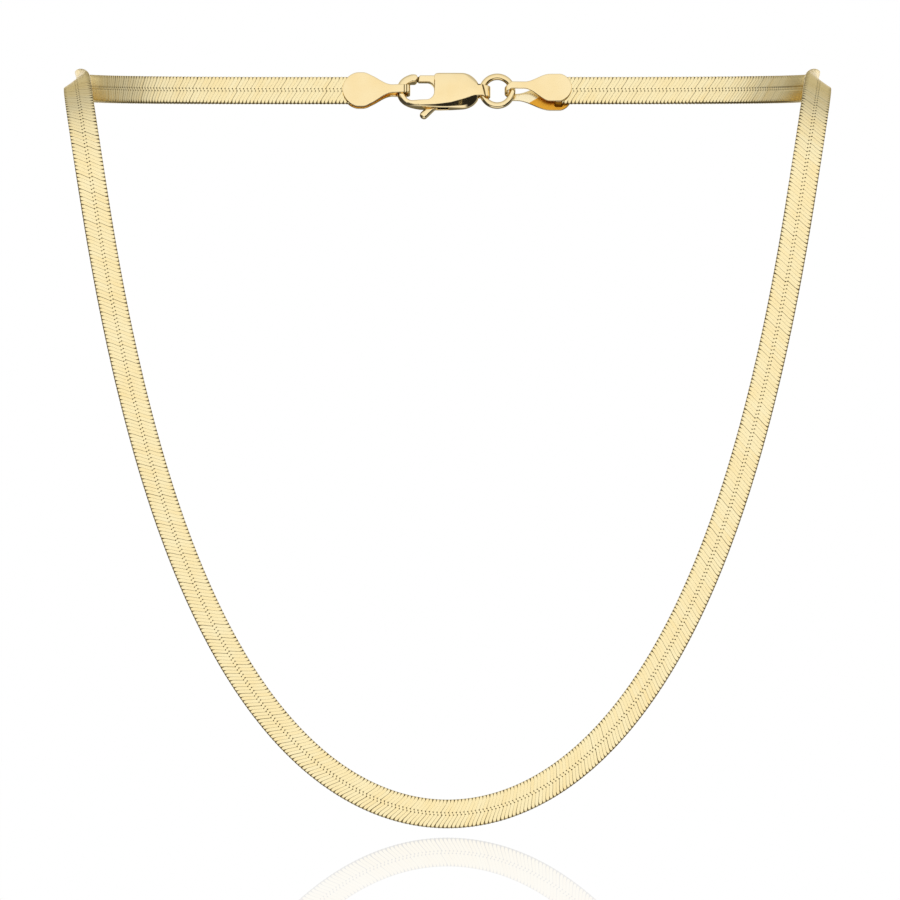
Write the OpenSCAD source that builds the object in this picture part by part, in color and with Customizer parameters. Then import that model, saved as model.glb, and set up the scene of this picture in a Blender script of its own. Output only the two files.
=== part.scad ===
// Flat woven gold necklace chain with a lobster clasp, closed into a whole loop.
// The origin is at the nape, where the neck holds the loop. +Z is up, the front drop hangs at -Y,
// and +X is to the right for someone who looks at the front. The clasp group lies across the nape.

/* [Chain] */
// Length of the whole loop, clasp group included
loop_len = 550; // [530:5:600]
// Width of the flat chain
chain_w = 4.2; // [4:0.05:4.3]
// Thickness of the flat chain
chain_t = 0.8; // [0.6:0.05:0.85]
// Width of the shallow groove along the middle of each face
seam_w = 0.36; // [0.2:0.02:0.6]
// Depth of that groove
seam_d = 0.07; // [0.02:0.01:0.12]
// Width of the slope at each long edge
edge_w = 0.16; // [0.08:0.02:0.3]
// Distance between the cross sections of the band
ring_step = 2.2; // [1.8:0.1:4]

/* [Front drop] */
// Bend radius at the lowest point, measured flat
bottom_r = 25.8; // [24:0.2:28]
// Length over which that bend opens out
bend_spread = 27.5; // [25:0.5:29]
// Chain length from the lowest point to the start of the shoulder turn
drop_len = 110.3; // [100:0.1:114]

/* [Neck stretch] */
// Chain length of the turn over the shoulder
shoulder_len = 30; // [26:1:36]
// Chain length over which the band turns on edge beside the neck
twist_len = 72; // [60:1:80]
// Half length of the straight stretch across the nape
nape_half = 20.6; // [20:0.1:23]
// Lean of the nape stretch, top edge away from the neck
nape_tilt = 15; // [0:1:20]

/* [End caps] */
// Sheet thickness of both caps
cap_sheet = 0.4; // [0.3:0.02:0.45]
// Play between chain and sheet on each face
cap_play = 0.05; // [0.03:0.01:0.08]
// Lobe radius of the left cap
left_lobe_r = 2.72; // [2.6:0.02:2.78]
// Place of the left lobe's centre along the nape
left_lobe_x = -13.1; // [-13.4:0.1:-12.9]
// Half height of the left lobe's flats
left_flat = 2.68; // [2.5:0.02:2.7]
// Lobe radius of the right cap
right_lobe_r = 2.2; // [2.15:0.05:2.3]
// Place of the right lobe's centre along the nape
right_lobe_x = 16.5; // [16.3:0.1:16.6]
// Half height of the right lobe's flats
right_flat = 2.14; // [2:0.02:2.14]
// Height of the bail strip
bail_w = 1.3; // [1.1:0.05:1.35]
// How far the right cap's front half stands above its middle at the bail
right_rise = 0.72; // [0.5:0.02:0.8]

/* [Clasp] */
// Radius of the rounded nose at half depth
nose_r = 2.55; // [2.5:0.01:2.6]
// Place of the nose's centre along the nape
nose_x = -5.15; // [-5.2:0.01:-5.1]
// Height of the clasp's centre line
clasp_z = -0.1; // [-0.15:0.01:0]
// Depth of the clasp body, front face to back face
clasp_depth = 2.8; // [2.6:0.05:2.9]
// Depth of the nose, where the bail goes round it
nose_depth = 1.7; // [1.5:0.05:1.8]
// Window's left end along the nape
window_left = -6.4; // [-6.45:0.01:-6.35]
// Window's right end along the nape
window_right = -2.03; // [-2.1:0.01:-2]
// Window's lower edge
window_low = -1.71; // [-1.75:0.01:-1.65]
// Window's upper edge
window_top = 1.08; // [1.05:0.01:1.1]
// Corner radius of the window
window_r = 1.2; // [1.1:0.05:1.3]
// Radius of the hook's round tip
tip_r = 0.68; // [0.65:0.01:0.7]
// Place of the hook's tip, its centre
tip_x = -5.18; // [-5.25:0.01:-5.16]
// Rounding of the body's corner beside the gate
shoulder_r = 0.7; // [0.5:0.05:0.9]
// Height of the eyelet that holds the ring
eyelet_h = 1.75; // [1.6:0.05:1.8]
// Depth of the eyelet
eyelet_depth = 2.1; // [2:0.05:2.2]

/* [Clasp lever] */
// Place of the pivot along the nape
pivot_x = -0.9; // [-0.95:0.01:-0.85]
// Height of the pivot
pivot_z = 0.9; // [0.85:0.01:0.95]
// Diameter of the cross pin
pin_d = 0.8; // [0.7:0.02:0.84]
// Running clearance round the pin
pin_play = 0.06; // [0.03:0.01:0.09]
// Radius of the lever's hub
hub_r = 0.85; // [0.8:0.01:0.88]
// Thickness of the lever
lever_t = 1.15; // [1:0.05:1.2]
// Play on each side of the lever in its slot
lever_play = 0.08; // [0.05:0.01:0.1]
// Lower edge of the gate
gate_low = 1.22; // [1.18:0.01:1.26]
// Upper edge of the gate
gate_top = 2.28; // [2.1:0.01:2.3]
// Radius from the pivot to the gate's end
gate_reach = 3.56; // [3.46:0.01:3.58]
// Angle that the gate opens by
open_angle = 24; // [20:1:24]

/* [Jump ring] */
// Radius of the ring, to the middle of its wire
ring_r = 2.25; // [2.2:0.01:2.3]
// Diameter of the ring's wire
wire_d = 1; // [0.9:0.02:1.04]
// Place of the ring's centre along the nape
ring_x = 7.47; // [7.44:0.01:7.5]

/* [Hidden] */
$fn = 64;
gold = [0.95, 0.84, 0.55];
bright_gold = [0.97, 0.88, 0.64];

// Route of the chain's middle line, right half, measured along the chain from the lowest point.
// It hangs in a plane, turns over the shoulder, runs beside the neck and rounds it to the nape.

half_len = loop_len / 2;
fine_n = 550;
fine = half_len / fine_n;
shoulder_ease = 0.5;
neck_ease = 0.6;

function total(v) = v * [for (x = v) 1];
function ease(u, share) = let (c = min(max(u, 0), 1)) c - share * sin(360 * c) / (2 * PI);
function drop_angle(s) = atan(s / bend_spread) * bend_spread / bottom_r;

lean = 90 - drop_angle(drop_len);
arm_dir = [sin(lean), 0, cos(lean)];
arm_width = [-cos(lean), 0, sin(lean)];

function shoulder_angle(s) = 90 * ease((s - drop_len) / shoulder_len, shoulder_ease);
function shoulder_dir(s) = arm_dir * cos(shoulder_angle(s)) + [0, 1, 0] * sin(shoulder_angle(s));

shoulder_end = drop_len + shoulder_len;
side_x = fine * total([
    for (s = [fine / 2:fine:shoulder_end]) s < drop_len ? cos(drop_angle(s)) : shoulder_dir(s)[0]
]);
mean_sine = total([for (i = [0:99]) sin(90 * ease((i + 0.5) / 100, neck_ease))]) / 100;
neck_len = (side_x - nape_half) / mean_sine;
neck_start = half_len - nape_half - neck_len;

function neck_angle(s) = 90 * ease((s - neck_start) / neck_len, neck_ease);

// Direction of the chain and of its width at a length s from the lowest point
function along(s) = s < drop_len ? [cos(drop_angle(s)), 0, sin(drop_angle(s))]
    : s < shoulder_end ? shoulder_dir(s)
    : [-sin(neck_angle(s)), cos(neck_angle(s)), 0];
function untwisted(s) = s < drop_len ? [-sin(drop_angle(s)), 0, cos(drop_angle(s))]
    : [arm_width[0] * cos(neck_angle(s)), arm_width[0] * sin(neck_angle(s)), arm_width[2]];
function twist(s) = (90 - lean + nape_tilt) * ease((s - drop_len) / twist_len, 1);
function across(s) = untwisted(s) * cos(twist(s)) + cross(along(s), untwisted(s)) * sin(twist(s));

from_bottom = [
    for (i = 0, p = [0, 0, 0]; i <= fine_n; i = i + 1, p = p + fine * along((i - 0.5) * fine)) p
];
nape_shift = [0, -from_bottom[fine_n][1], -from_bottom[fine_n][2]];

function middle(s) = let (i = min(floor(s / fine), fine_n - 1), u = s / fine - i)
    from_bottom[i] * (1 - u) + from_bottom[i + 1] * u + nape_shift;
function side_of(v, s) = s < 0 ? [-v[0], v[1], v[2]] : v;

// Cross section of the band, as [across, out of the face] points
section = [
    [-chain_w / 2, -chain_t / 4],
    [-chain_w / 2, chain_t / 4],
    [edge_w - chain_w / 2, chain_t / 2],
    [-seam_w / 2, chain_t / 2],
    [0, chain_t / 2 - seam_d],
    [seam_w / 2, chain_t / 2],
    [chain_w / 2 - edge_w, chain_t / 2],
    [chain_w / 2, chain_t / 4],
    [chain_w / 2, -chain_t / 4],
    [chain_w / 2 - edge_w, -chain_t / 2],
    [seam_w / 2, -chain_t / 2],
    [0, seam_d - chain_t / 2],
    [-seam_w / 2, -chain_t / 2],
    [edge_w - chain_w / 2, -chain_t / 2]
];

function band_ring(s) = let (a = abs(s), c = middle(a), w = across(a), n = cross(along(a), w))
    [for (p = section) side_of(c + w * p[0] + n * p[1], s)];

// The chain's ends lie inside the two caps
chain_end_x = [-12.9, 16.3];
chain_start = -(half_len + chain_end_x[0]);
chain_stop = half_len - chain_end_x[1];
ring_n = ceil((chain_stop - chain_start) / ring_step);

// Clasp group, drawn as seen from the front: x along the nape, z up, and y is depth.

// What the children hold as [x, z] becomes a plate of the given depth, centred on the chain
module plate(depth) {
    rotate([90, 0, 0]) linear_extrude(depth, center = true) children();
}

// What the children hold as [x, depth] becomes a column of the given height
module column(height) {
    linear_extrude(height, center = true) children();
}

module lean_with_nape() {
    rotate([-nape_tilt, 0, 0]) children();
}

// Closed strip outline along x, from rows of [x, lower edge, upper edge]
module strip_outline(rows) {
    n = len(rows);
    polygon(concat([for (r = rows) [r[0], r[2]]], [for (i = [1:n]) [rows[n - i][0], rows[n - i][1]]]));
}

function smooth(u) = let (c = min(max(u, 0), 1)) c * c * (3 - 2 * c);

// Half of the gap between a cap's two plates: bail_gap at the bail, the chain's room at the lobe
function cap_gap(x, bend_x, bail_gap, lobe_x) =
    let (closed = chain_t / 2 + cap_play)
    closed + (bail_gap - closed) * (1 - smooth((x - bend_x) / (lobe_x - bend_x)));

// A slot end: two round corners of radius r at bend_x, half_gap apart from the middle
module bail_end(bend_x, half_gap, r) {
    for (side = [-1, 1]) translate([bend_x, side * half_gap]) circle(r);
    translate([bend_x, 0]) square([2 * r, 2 * half_gap], center = true);
}

// Section of a folded cap: the sheet goes round a bail at bend_x and opens towards far_x
module cap_section(bend_x, bail_gap, corner_r, lobe_x, far_x) {
    steps = 12;
    xs = concat([for (i = [0:steps]) bend_x + (lobe_x - bend_x) * i / steps], [far_x]);
    inner = [for (x = xs) let (gap = cap_gap(x, bend_x, bail_gap, lobe_x)) [x, -gap, gap]];
    outer = [for (r = inner) [r[0], r[1] - cap_sheet, r[2] + cap_sheet]];
    difference() {
        union() {
            strip_outline(outer);
            bail_end(bend_x, bail_gap - corner_r, corner_r + cap_sheet);
        }
        union() {
            strip_outline(inner);
            translate([far_x, 0]) square([1, 2 * inner[steps + 1][2]], center = true);
            bail_end(bend_x, bail_gap - corner_r, corner_r);
        }
    }
}

// Lobe and taper of a cap seen from the front; rise is the height of the strip's middle at an x
module cap_front(lobe_x, lobe_r, flat, lobe_rise, taper) {
    intersection() {
        translate([lobe_x, lobe_rise]) circle(lobe_r);
        translate([lobe_x, lobe_rise]) square([2 * lobe_r + 1, 2 * flat], center = true);
    }
    strip_outline(taper);
}

// Left cap: the bail goes through the clasp's window, round the hook

left_bail_gap = 1.1;
left_corner_r = 0.3;
left_bend_x = -5.6 - cap_sheet - left_corner_r;
left_neck_x = -8.3;
left_shoulder_x = -12.4;
left_shoulder_half = 2.45;
left_far_x = left_lobe_x - left_lobe_r - 1;

function left_half(x) = bail_w / 2
    + (left_shoulder_half - bail_w / 2) * smooth((x - left_neck_x) / (left_shoulder_x - left_neck_x));

module end_cap_left() {
    steps = 10;
    taper = concat(
        [[-5, -bail_w / 2, bail_w / 2]],
        [for (i = [0:steps]) let (x = left_neck_x + (left_shoulder_x - left_neck_x) * i / steps)
            [x, -left_half(x), left_half(x)]]
    );
    color(bright_gold) lean_with_nape() intersection() {
        column(8) cap_section(left_bend_x, left_bail_gap, left_corner_r, left_shoulder_x, left_far_x);
        plate(8) cap_front(left_lobe_x, left_lobe_r, left_flat, 0, taper);
    }
}

// Right cap: the bail winds down round the jump ring, so the back half lies lower

right_bail_gap = 0.7;
right_bail_half = 0.56;
right_corner_r = 0.62;
right_outer_r = right_corner_r + cap_sheet;
right_bend_x = 8.56 + right_outer_r;
right_shoulder_x = 15.4;
right_far_x = right_lobe_x + right_lobe_r + 1;
right_middle_z = -0.1;
right_front_z = 0.3;

// Where a half starts to widen; side is 1 for the front half and -1 for the back half
function right_neck_x(side) = side > 0 ? 11.6 : 10.4;
function right_widening(x, side) = smooth((x - right_neck_x(side)) / (right_shoulder_x - right_neck_x(side)));
function right_half(x, side) = right_bail_half + (right_flat - right_bail_half) * right_widening(x, side);
function bail_turn(x) = pow(acos(min(max((right_bend_x - x) / right_outer_r, -1), 1)) / 90, 2);
function right_middle(x, side) = let (edge = right_middle_z + side * right_rise)
    x < right_bend_x ? right_middle_z + side * right_rise * bail_turn(x)
    : side > 0 ? edge + (right_front_z - edge) * right_widening(x, side)
    : edge;

module right_cap_half(side) {
    bail_steps = 8;
    steps = 10;
    bail_xs = [for (i = [0:bail_steps]) right_bend_x - right_outer_r * cos(90 * i / bail_steps)];
    neck_x = right_neck_x(side);
    neck_xs = [for (i = [0:steps]) neck_x + (right_shoulder_x - neck_x) * i / steps];
    taper = [
        for (x = concat(bail_xs, neck_xs, [right_lobe_x]))
            [x, right_middle(x, side) - right_half(x, side), right_middle(x, side) + right_half(x, side)]
    ];
    intersection() {
        column(8) cap_section(right_bend_x, right_bail_gap, right_corner_r, right_shoulder_x, right_far_x);
        plate(8) cap_front(right_lobe_x, right_lobe_r, right_flat, right_middle(right_lobe_x, side), taper);
        translate([0, -4 * side, 0]) cube([60, 8, 12], center = true);
    }
}

module end_cap_right() {
    color(bright_gold) lean_with_nape() {
        right_cap_half(1);
        right_cap_half(-1);
    }
}

// Clasp body

body_end_x = 2.2;
body_end_r = 2.65;
body_top = clasp_z + body_end_r;
face_step = 1.2;
eyelet_x = [4.1, 6.45];
eyelet_hole_x = [4.6, 6.06];
eyelet_hole_depth = 1.26;
pin_seat = 0.3;

// Outline at half depth and outline of the face, both as [x, z]
module clasp_middle_outline() {
    translate([nose_x, clasp_z]) circle(nose_r);
    translate([body_end_x, clasp_z]) circle(body_end_r);
}

module clasp_face_outline() {
    translate([nose_x, clasp_z]) circle(nose_r - 0.17);
    translate([-0.3, -1.5]) circle(1);
    translate([1.9, 0.13]) circle(2.1);
    translate([4.2, -0.15]) circle(0.8);
}

// The clasp seen from above, as rows of [x, half depth]
clasp_top = [
    [-7.8, 0.6],
    [-7.6, 0.76],
    [-7.2, nose_depth / 2],
    [-6, nose_depth / 2],
    [-5.1, 1.1],
    [-4.2, 1.33],
    [-3.4, clasp_depth / 2],
    [2.4, clasp_depth / 2],
    [3.6, 1.28],
    [4.6, 1.1],
    [5.2, 1.05]
];

module eyelet_form() {
    straight = eyelet_x[1] - eyelet_x[0] - eyelet_depth / 2;
    column(eyelet_h) {
        translate([eyelet_x[0], -eyelet_depth / 2]) square([straight, eyelet_depth]);
        translate([eyelet_x[1] - eyelet_depth / 2, 0]) circle(eyelet_depth / 2);
    }
}

module clasp_form() {
    intersection() {
        hull() {
            plate(face_step) clasp_middle_outline();
            plate(clasp_depth) clasp_face_outline();
        }
        column(8) strip_outline([for (r = clasp_top) [r[0], -r[1], r[1]]]);
    }
    translate([0, 0, clasp_z]) eyelet_form();
}

module window_outline() {
    corner_x = [window_left + window_r, window_right - window_r];
    corner_z = [window_low + window_r, window_top - window_r];
    translate([corner_x[0], window_low]) square([corner_x[1] - corner_x[0], window_top - window_low]);
    translate([window_left, corner_z[0]]) square([window_right - window_left, corner_z[1] - corner_z[0]]);
    for (x = corner_x, z = corner_z) translate([x, z]) circle(window_r);
    // The way out past the hook's tip, which the gate shuts
    difference() {
        translate([tip_x, corner_z[0]]) square([window_right - tip_x, 5]);
        translate([tip_x, window_top + tip_r]) circle(tip_r);
    }
    // The body's rounded corner beside the gate
    difference() {
        translate([window_right - 0.1, body_top - shoulder_r]) square([shoulder_r + 0.1, shoulder_r + 1]);
        translate([window_right + shoulder_r, body_top - shoulder_r]) circle(shoulder_r);
    }
}

// Clasp lever: gate, hub and trigger in one. Its points are [x, z] from the pivot.

gate_points = [
    [-0.2, 0.8],
    [-1.13, gate_top - pivot_z],
    [-gate_reach, gate_top - pivot_z],
    [-gate_reach, gate_low - pivot_z],
    [-0.6, gate_low - pivot_z],
    [-0.1, 0.2]
];
arm_points = [[-0.65, 0.1], [-1.4, -3.66], [-0.62, -3.66], [0.5, 0.1]];
head_place = [-2.65, -4.74];
head_r = 0.64;

// Slot in the body: the lever's outline, slot_gap wider, swept from shut to open
slot_t = lever_t + 2 * lever_play;
slot_gap = 0.1;
slot_below = 0.6;
arm_slope = 0.2;

function slot_gate(p) = [p[0], p[1] + (p[1] > 0.5 ? slot_gap : -slot_gap)];
function slot_arm(p, side) = let (below = p[1] < 0 ? slot_below : 0)
    [p[0] + side * slot_gap - arm_slope * below, p[1] - below];

module slot_outline() {
    arm = [for (i = [0:3]) slot_arm(arm_points[i], i < 2 ? -1 : 1)];
    translate([pivot_x, pivot_z]) {
        circle(hub_r + slot_gap);
        for (a = [0:open_angle / 4:open_angle]) rotate(a) {
            polygon([for (p = gate_points) slot_gate(p)]);
            polygon(arm);
        }
    }
}

module clasp_body() {
    color(bright_gold) lean_with_nape() {
        difference() {
            clasp_form();
            plate(8) window_outline();
            plate(slot_t) slot_outline();
            translate([(eyelet_hole_x[0] + eyelet_hole_x[1]) / 2, 0, 0])
                cube([eyelet_hole_x[1] - eyelet_hole_x[0], eyelet_hole_depth, 6], center = true);
        }
        translate([pivot_x, 0, pivot_z]) rotate([90, 0, 0])
            cylinder(h = slot_t + 2 * pin_seat, d = pin_d, center = true);
    }
}

module lever_outline() {
    circle(hub_r);
    intersection() {
        polygon(gate_points);
        circle(gate_reach);
    }
    polygon([
        arm_points[0],
        arm_points[1],
        arm_points[1] + [-1, -0.06],
        head_place + [-0.42, 0.48],
        head_place + [0.4, -0.5],
        arm_points[2] + [-0.35, -0.3],
        arm_points[2],
        arm_points[3]
    ]);
    translate(head_place) circle(head_r);
}

module clasp_lever() {
    color(bright_gold) lean_with_nape() translate([pivot_x, 0, pivot_z]) difference() {
        plate(lever_t) lever_outline();
        rotate([90, 0, 0]) cylinder(h = lever_t + 1, d = pin_d + 2 * pin_play, center = true);
    }
}

module jump_ring() {
    color(bright_gold) lean_with_nape() translate([ring_x, 0, clasp_z]) rotate([90, 0, 0])
        rotate_extrude() translate([ring_r, 0]) circle(d = wire_d, $fn = 32);
}

module chain() {
    k = len(section);
    rings = [for (i = [0:ring_n]) band_ring(chain_start + (chain_stop - chain_start) * i / ring_n)];
    points = [for (r = rings, p = r) p];
    walls = [
        for (i = [0:ring_n - 1], j = [0:k - 1])
            let (a = i * k + j, b = i * k + (j + 1) % k, c = b + k, d = a + k)
            each [[a, b, c], [a, c, d]]
    ];
    first = [for (j = [k - 1:-1:0]) j];
    last = [for (j = [0:k - 1]) ring_n * k + j];
    color(gold) polyhedron(points, concat(walls, [first, last]));
}

chain();
end_cap_left();
end_cap_right();
clasp_body();
clasp_lever();
jump_ring();
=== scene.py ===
"""Looks of a flat herringbone chain necklace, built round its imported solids.

Numbers are millimetres unless a name says otherwise, and meshes are scaled to metres as they are made.
The chain's links follow the same route as the plain band that they replace.
"""

import math

import bpy
import numpy as np
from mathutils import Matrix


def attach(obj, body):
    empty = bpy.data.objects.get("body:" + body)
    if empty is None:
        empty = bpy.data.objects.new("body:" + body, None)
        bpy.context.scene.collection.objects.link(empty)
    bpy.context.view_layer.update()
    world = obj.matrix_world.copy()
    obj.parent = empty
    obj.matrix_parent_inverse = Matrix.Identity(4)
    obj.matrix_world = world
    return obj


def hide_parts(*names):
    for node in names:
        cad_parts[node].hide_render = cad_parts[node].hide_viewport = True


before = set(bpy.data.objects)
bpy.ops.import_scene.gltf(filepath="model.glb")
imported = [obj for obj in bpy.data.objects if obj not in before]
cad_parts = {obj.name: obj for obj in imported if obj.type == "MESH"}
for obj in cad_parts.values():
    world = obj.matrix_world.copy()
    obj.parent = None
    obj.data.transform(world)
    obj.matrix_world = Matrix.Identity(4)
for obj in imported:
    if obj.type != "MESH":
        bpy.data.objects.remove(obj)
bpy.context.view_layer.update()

MM = 0.001

# Route of the chain, as in the solids' source

LOOP_LEN = 550.0
CHAIN_W = 4.2
CHAIN_T = 0.8
BOTTOM_R = 25.8
BEND_SPREAD = 27.5
DROP_LEN = 110.3
SHOULDER_LEN = 30.0
TWIST_LEN = 72.0
NAPE_HALF = 20.6
NAPE_TILT = 15.0
SHOULDER_EASE = 0.5
NECK_EASE = 0.6
CHAIN_END_X = (-12.9, 16.3)

HALF_LEN = LOOP_LEN / 2
ROUTE_STEPS = 5500
EASE_STEPS = 100
QUARTER = math.pi / 2


def ease(u, share):
    """Runs from 0 to 1, with its ends slowed by share."""
    c = np.clip(u, 0, 1)
    return c - share * np.sin(2 * math.pi * c) / (2 * math.pi)


def drop_angle(s):
    return np.arctan(s / BEND_SPREAD) * BEND_SPREAD / BOTTOM_R


def vectors(x, y, z):
    """Rows of vectors from three columns, each an array or one number."""
    return np.stack(np.broadcast_arrays(x, y, z), axis=-1).astype(float)


class Route:
    """The chain's middle line and frame on its right half; the left half is its mirror image."""

    def __init__(self):
        self.lean = QUARTER - drop_angle(DROP_LEN)
        self.shoulder_end = DROP_LEN + SHOULDER_LEN
        step = HALF_LEN / ROUTE_STEPS
        mids = (np.arange(ROUTE_STEPS) + 0.5) * step
        # Both hold a place until the shoulder's reach gives where the neck's stretch starts, and its length
        self.neck_start = HALF_LEN
        self.neck_len = 1.0
        side_x = step * self.along(mids[mids < self.shoulder_end])[:, 0].sum()
        shares = (np.arange(EASE_STEPS) + 0.5) / EASE_STEPS
        self.neck_len = (side_x - NAPE_HALF) / np.sin(QUARTER * ease(shares, NECK_EASE)).mean()
        self.neck_start = HALF_LEN - NAPE_HALF - self.neck_len
        steps = self.along(mids) * step
        self.grid = np.arange(ROUTE_STEPS + 1) * step
        self.middles = np.vstack([np.zeros(3), np.cumsum(steps, axis=0)])
        self.middles[:, 1:] -= self.middles[-1, 1:]

    def shoulder_angle(self, s):
        return QUARTER * ease((s - DROP_LEN) / SHOULDER_LEN, SHOULDER_EASE)

    def neck_angle(self, s):
        return QUARTER * ease((s - self.neck_start) / self.neck_len, NECK_EASE)

    def along(self, s):
        """Direction of the chain at lengths s from its lowest point."""
        drop = vectors(np.cos(drop_angle(s)), 0, np.sin(drop_angle(s)))
        turn = self.shoulder_angle(s)
        rise = np.cos(turn)
        shoulder = vectors(math.sin(self.lean) * rise, np.sin(turn), math.cos(self.lean) * rise)
        round_neck = self.neck_angle(s)
        neck = vectors(-np.sin(round_neck), np.cos(round_neck), 0)
        past_drop = (s >= DROP_LEN)[:, None]
        past_shoulder = (s >= self.shoulder_end)[:, None]
        return np.where(past_shoulder, neck, np.where(past_drop, shoulder, drop))

    def across(self, s):
        """Direction of the chain's width, towards the inside of the drop and up at the nape."""
        drop = vectors(-np.sin(drop_angle(s)), 0, np.cos(drop_angle(s)))
        angle = self.neck_angle(s)
        inward = -math.cos(self.lean)
        neck = vectors(inward * np.cos(angle), inward * np.sin(angle), math.sin(self.lean))
        flat = np.where((s < DROP_LEN)[:, None], drop, neck)
        twist = (QUARTER - self.lean + math.radians(NAPE_TILT)) * ease((s - DROP_LEN) / TWIST_LEN, 1)
        turned = np.cross(self.along(s), flat)
        return flat * np.cos(twist)[:, None] + turned * np.sin(twist)[:, None]

    def place(self, s, v, n):
        """Points at length s, v across the chain and n out of its outer face, in metres."""
        s, v, n = np.broadcast_arrays(s, v, n)
        shape = s.shape
        s, v, n = s.ravel(), v.ravel(), n.ravel()
        a = np.abs(s)
        middle = np.stack([np.interp(a, self.grid, self.middles[:, k]) for k in range(3)], axis=-1)
        across = self.across(a)
        out = np.cross(self.along(a), across)
        points = middle + across * v[:, None] + out * n[:, None]
        points[:, 0] *= np.where(s < 0, -1, 1)
        return (points * MM).reshape(shape + (3,))


route = Route()
CHAIN_START = -(HALF_LEN + CHAIN_END_X[0])
CHAIN_STOP = HALF_LEN - CHAIN_END_X[1]


def bend(s):
    """Curvature of the drop in its own plane at lengths s."""
    a = np.abs(s)
    return np.where(a < DROP_LEN, 1 / (BOTTOM_R * (1 + (a / BEND_SPREAD) ** 2)), 0)


# Meshes


def add_mesh(name, points, faces, materials, face_materials=None, sharp_deg=40):
    """Links a mesh object of shared points, shaded smooth but for edges sharper than sharp_deg."""
    mesh = bpy.data.meshes.new(name)
    mesh.from_pydata(points.reshape(-1, 3).tolist(), [], faces)
    for material in materials:
        mesh.materials.append(material)
    if face_materials is not None:
        mesh.polygons.foreach_set("material_index", face_materials)
    mesh.shade_smooth()
    mesh.set_sharp_from_angle(angle=math.radians(sharp_deg))
    obj = bpy.data.objects.new(name, mesh)
    bpy.context.scene.collection.objects.link(obj)
    return obj


# Materials: noise scales are counts in a metre, and the grain's height is in metres

WHITE = (1, 1, 1, 1)
EDGE_TINT = (1.0, 0.88, 0.58, 1)
CLOUD_SCALE = 260.0
CLOUD_DETAIL = 2.0
CLOUD_RANGE = (0.35, 0.7)
CLOUD_SHARE = 0.5
GRAIN_SCALE = 9000.0
GRAIN_DETAIL = 3.0
GRAIN_RANGE = (0.3, 0.7)
GRAIN_HEIGHT = 2e-6
GRAIN_STRENGTH = 0.05

# Shares of a gold's own roughness between which its grain varies
SMOOTHEST = 0.8
ROUGHEST = 1.25


class Nodes:
    """Short ways to add and join shader nodes in one tree."""

    def __init__(self, tree):
        self.tree = tree
        tree.nodes.clear()

    def add(self, kind, inputs=None, **settings):
        node = self.tree.nodes.new(kind)
        for name, value in settings.items():
            setattr(node, name, value)
        for key, value in (inputs or {}).items():
            if isinstance(value, bpy.types.NodeSocket):
                self.tree.links.new(value, node.inputs[key])
            else:
                node.inputs[key].default_value = value
        return node

    def math(self, operation, a, b=0.0, clamp=False):
        return self.add("ShaderNodeMath", {0: a, 1: b}, operation=operation, use_clamp=clamp).outputs[0]

    def ramp(self, value, low, high, start, stop, kind="LINEAR"):
        inputs = {"Value": value, "From Min": low, "From Max": high, "To Min": start, "To Max": stop}
        return self.add("ShaderNodeMapRange", inputs, interpolation_type=kind).outputs[0]

    def noise(self, place, scale, detail):
        return self.add("ShaderNodeTexNoise", {"Vector": place, "Scale": scale, "Detail": detail}).outputs[0]

    def mix(self, factor, a, b):
        return self.add("ShaderNodeMix", {0: factor, 6: a, 7: b}, data_type="RGBA").outputs[2]


def polished_gold(name, light, deep, rough, tone=False):
    """Gold between two close colours, with a fine polish of faint marks."""
    material = bpy.data.materials.new(name)
    material.use_nodes = True
    nodes = Nodes(material.node_tree)
    place = nodes.add("ShaderNodeTexCoord").outputs["Object"]
    clouds = nodes.noise(place, CLOUD_SCALE, CLOUD_DETAIL)
    share = nodes.ramp(clouds, *CLOUD_RANGE, 0.0, CLOUD_SHARE)
    if tone:
        own = nodes.add("ShaderNodeAttribute", attribute_name="tone").outputs["Fac"]
        share = nodes.math("ADD", share, own, clamp=True)
    grain = nodes.noise(place, GRAIN_SCALE, GRAIN_DETAIL)
    heights = {"Height": grain, "Strength": GRAIN_STRENGTH, "Distance": GRAIN_HEIGHT}
    shader = nodes.add(
        "ShaderNodeBsdfPrincipled",
        {
            "Base Color": nodes.mix(share, light, deep),
            "Metallic": 1.0,
            "Specular Tint": EDGE_TINT,
            "Roughness": nodes.ramp(grain, *GRAIN_RANGE, rough * SMOOTHEST, rough * ROUGHEST),
            "Normal": nodes.add("ShaderNodeBump", heights).outputs[0],
        },
    )
    nodes.add("ShaderNodeOutputMaterial", {"Surface": shader.outputs[0]})
    return material


chain_gold = polished_gold("chain_gold", (1.0, 0.865, 0.52, 1), (0.99, 0.79, 0.40, 1), 0.13, tone=True)
# Painted shade: a dark gold for grooves, gaps, creases and the chain's core, where shade falls
painted_shade_gold = polished_gold("painted_shade_gold", (0.22, 0.16, 0.06, 1), (0.14, 0.1, 0.04, 1), 0.4)
clasp_gold = polished_gold("clasp_gold", (1.0, 0.82, 0.475, 1), (0.96, 0.72, 0.34, 1), 0.07)
# A rougher satin gold whose paler colour is painted light, lifting the shade on the right cap's inner faces
satin_painted_light_gold = polished_gold("satin_painted_light_gold", (1.0, 0.87, 0.57, 1), (1.0, 0.84, 0.52, 1), 0.22)
# Painted reflection: deep orange for the cap plates' gold reflecting in each other
painted_reflection_gold = polished_gold("painted_reflection_gold", (0.82, 0.4, 0.04, 1), (0.66, 0.3, 0.03, 1), 0.3)
# Painted shadow: dark orange-brown for the shade deep inside the right cap
painted_shadow_gold = polished_gold("painted_shadow_gold", (0.26, 0.11, 0.008, 1), (0.19, 0.08, 0.006, 1), 0.4)


# Links of the chain

LINK_COUNT = 919
PITCH = (CHAIN_STOP - CHAIN_START) / LINK_COUNT
LINK_DEPTH = 0.16
EDGE_DEPTH = 0.1
CORE_DEPTH = 0.13
EDGE_CORE_DEPTH = 0.055

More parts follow.
